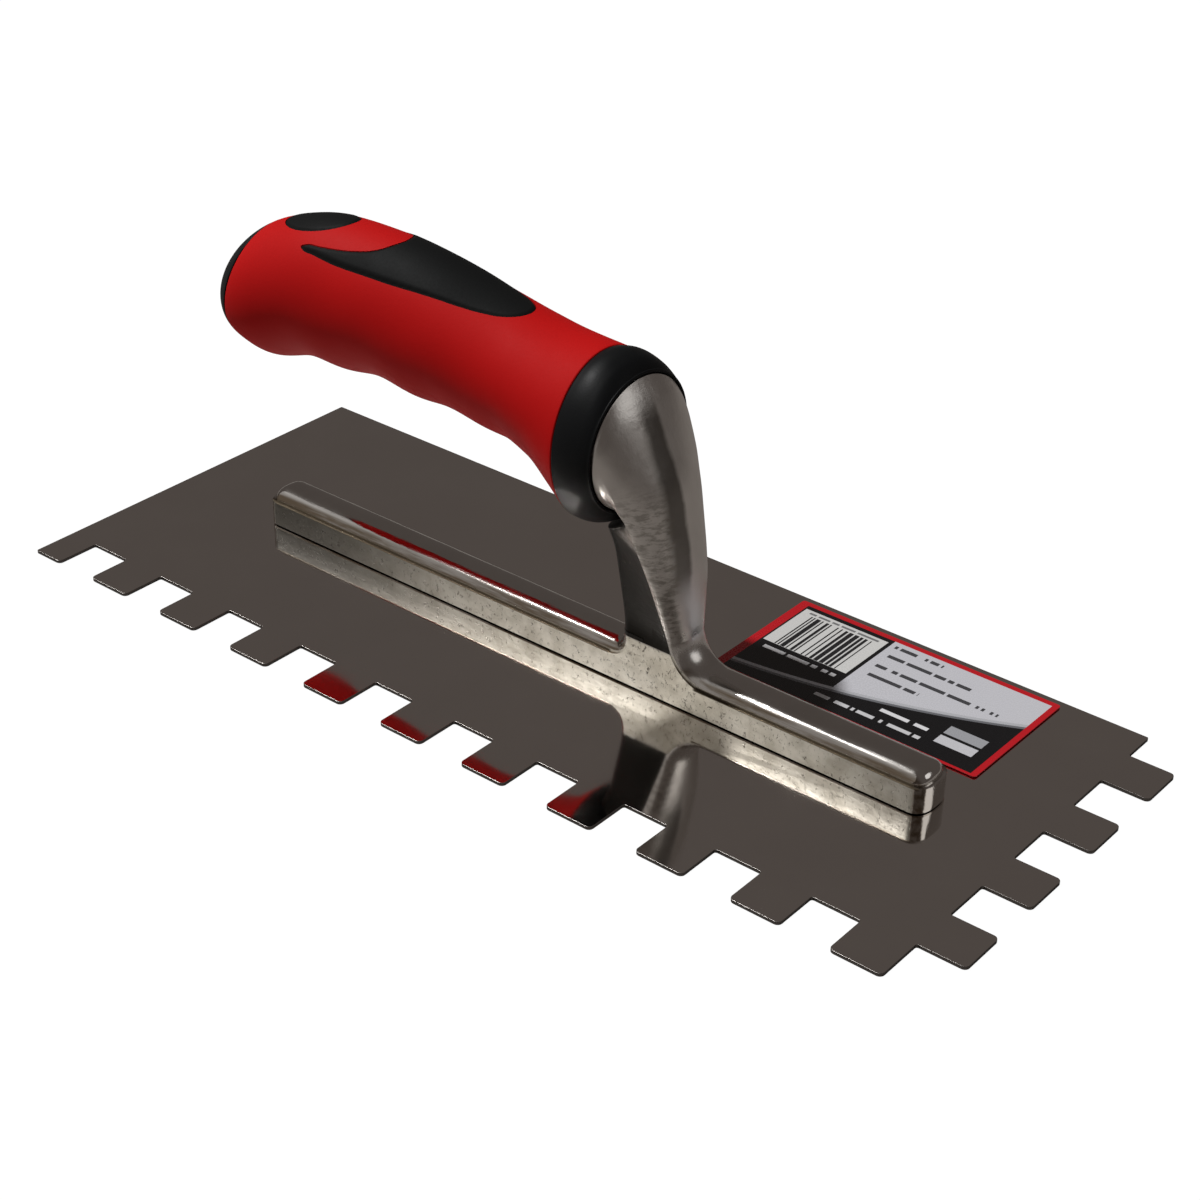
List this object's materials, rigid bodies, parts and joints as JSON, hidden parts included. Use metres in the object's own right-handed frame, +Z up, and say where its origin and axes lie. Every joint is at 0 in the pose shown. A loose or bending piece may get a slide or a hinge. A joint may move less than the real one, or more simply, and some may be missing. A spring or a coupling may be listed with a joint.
{
  "type": "notched trowel",
  "caption": "Square-notched spreading trowel: a notched steel blade riveted under a cast mounting, with a two-part soft-grip handle.",
  "frame": {"origin": "centre of the blade's flat underside, which is the bottom of the tool at rest", "axes": "+X along the blade towards the notched short side, -Y towards the notched long side, +Z up out of the blade towards the handle"},
  "size_m": [0.2794, 0.1142, 0.0945],
  "materials": {
    "blade": "mirror-polished stainless sheet with faint rolling lines",
    "mounting": "polished die-cast aluminium, rough as cast on the side walls",
    "fasteners": "bright zinc-plated steel",
    "handle_core": "moulded black polypropylene",
    "grip_red": "satin soft-touch elastomer, red",
    "grip_black": "satin soft-touch elastomer, black",
    "handle_trim": "satin moulded black plastic",
    "label": "printed film label, semi-gloss"
  },
  "bodies": {
    "root": {"blade": "blade", "mounting": "mounting", "rivet_1": "fasteners", "rivet_2": "fasteners", "rivet_3": "fasteners", "rivet_4": "fasteners", "rivet_5": "fasteners", "rivet_6": "fasteners", "rivet_7": "fasteners", "rivet_8": "fasteners", "rivet_9": "fasteners", "handle_core": "handle_core", "grip_sleeve": "grip_red", "thumb_inlay": "grip_black", "palm_inlay": "grip_black", "front_collar": "handle_trim", "end_cap": "handle_trim", "tang_washer": "fasteners", "tang_screw": "fasteners", "label": "label"}
  },
  "joints": []
}
